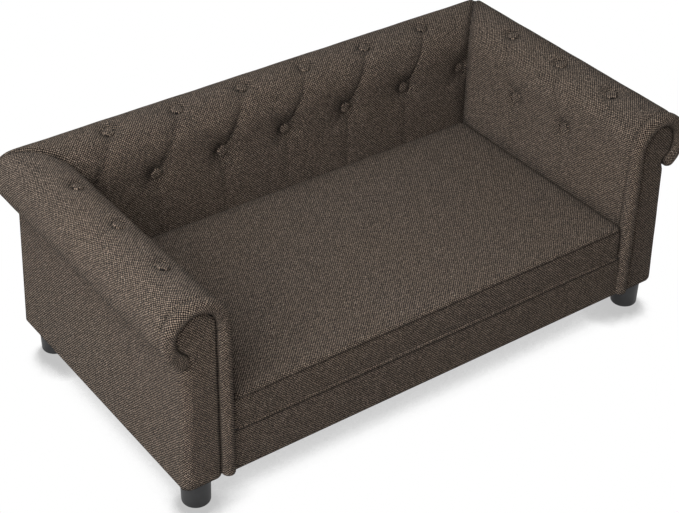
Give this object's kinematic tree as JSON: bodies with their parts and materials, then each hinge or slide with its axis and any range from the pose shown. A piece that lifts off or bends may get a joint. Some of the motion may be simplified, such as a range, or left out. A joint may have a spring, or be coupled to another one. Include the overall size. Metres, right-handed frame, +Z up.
{
  "type": "dog sofa bed",
  "caption": "Low scroll-arm pet sofa with a button-tufted back, padded front borders, round legs and a loose crowned seat cushion that lifts out.",
  "frame": {"origin": "on the floor, under the middle of the sofa's bounding box", "axes": "+X to the right as seen from the open front; -Y the open front; +Z up"},
  "size_m": [1.014, 0.556, 0.393],
  "materials": {
    "woven_fabric": "coarse woven upholstery, matt",
    "lining": "black non-woven lining",
    "foam": "open-cell foam and wadding",
    "pine": "sawn softwood",
    "plywood": "raw plywood",
    "leg_plastic": "satin black moulded plastic",
    "zinc_steel": "zinc plated",
    "zip_tape": "woven zip tape with coil",
    "zip_metal": "dull nickel"
  },
  "bodies": {
    "sofa": {"arm_bottom_rail_left": "pine", "arm_bottom_rail_right": "pine", "arm_buttons_left": "woven_fabric", "arm_buttons_right": "woven_fabric", "arm_cover_left": "woven_fabric", "arm_cover_right": "woven_fabric", "arm_facing_left": "woven_fabric", "arm_facing_right": "woven_fabric", "arm_foam_left": "foam", "arm_foam_right": "foam", "arm_inner_board_left": "plywood", "arm_inner_board_right": "plywood", "arm_outer_board_left": "plywood", "arm_outer_board_right": "plywood", "arm_roll_foam_left": "foam", "arm_roll_foam_right": "foam", "arm_scroll_board_left": "plywood", "arm_scroll_board_right": "plywood", "arm_top_rail_left": "pine", "arm_top_rail_right": "pine", "back_bottom_rail": "pine", "back_buttons": "woven_fabric", "back_cover": "woven_fabric", "back_foam": "foam", "back_inner_board": "plywood", "back_outer_board": "plywood", "back_posts": "pine", "back_roll_foam": "foam", "back_top_rail": "pine", "base_front_rail": "pine", "base_rear_rail": "pine", "base_side_rail_left": "pine", "base_side_rail_right": "pine", "border_roll_left": "woven_fabric", "border_roll_right": "woven_fabric", "corner_blocks": "pine", "deck_bearers": "pine", "deck_board": "plywood", "deck_cloth": "lining", "dust_cover": "lining", "frame_bolts": "zinc_steel", "front_rail_cover": "woven_fabric", "front_rail_pad": "foam", "leg_front_left": "leg_plastic", "leg_front_right": "leg_plastic", "leg_rear_left": "leg_plastic", "leg_rear_right": "leg_plastic", "leg_studs": "zinc_steel", "leg_tee_nuts": "zinc_steel", "outer_arm_cover_left": "woven_fabric", "outer_arm_cover_right": "woven_fabric", "outer_back_cover": "woven_fabric"},
    "seat_cushion": {"cushion_base_panel": "lining", "cushion_boxing": "woven_fabric", "cushion_foam": "foam", "cushion_piping": "woven_fabric", "cushion_top_panel": "woven_fabric", "zipper_tape": "zip_tape"},
    "zipper_slider": {"zipper_slider": "zip_metal"}
  },
  "joints": [
    {"name": "cushion_lift", "type": "slide", "parent": "sofa", "child": "seat_cushion", "axis": [0, 0, 1], "range_m": [0, 0.27]},
    {"name": "zip_travel", "type": "slide", "parent": "seat_cushion", "child": "zipper_slider", "axis": [-1, 0, 0], "range_m": [0, 0.6]}
  ]
}
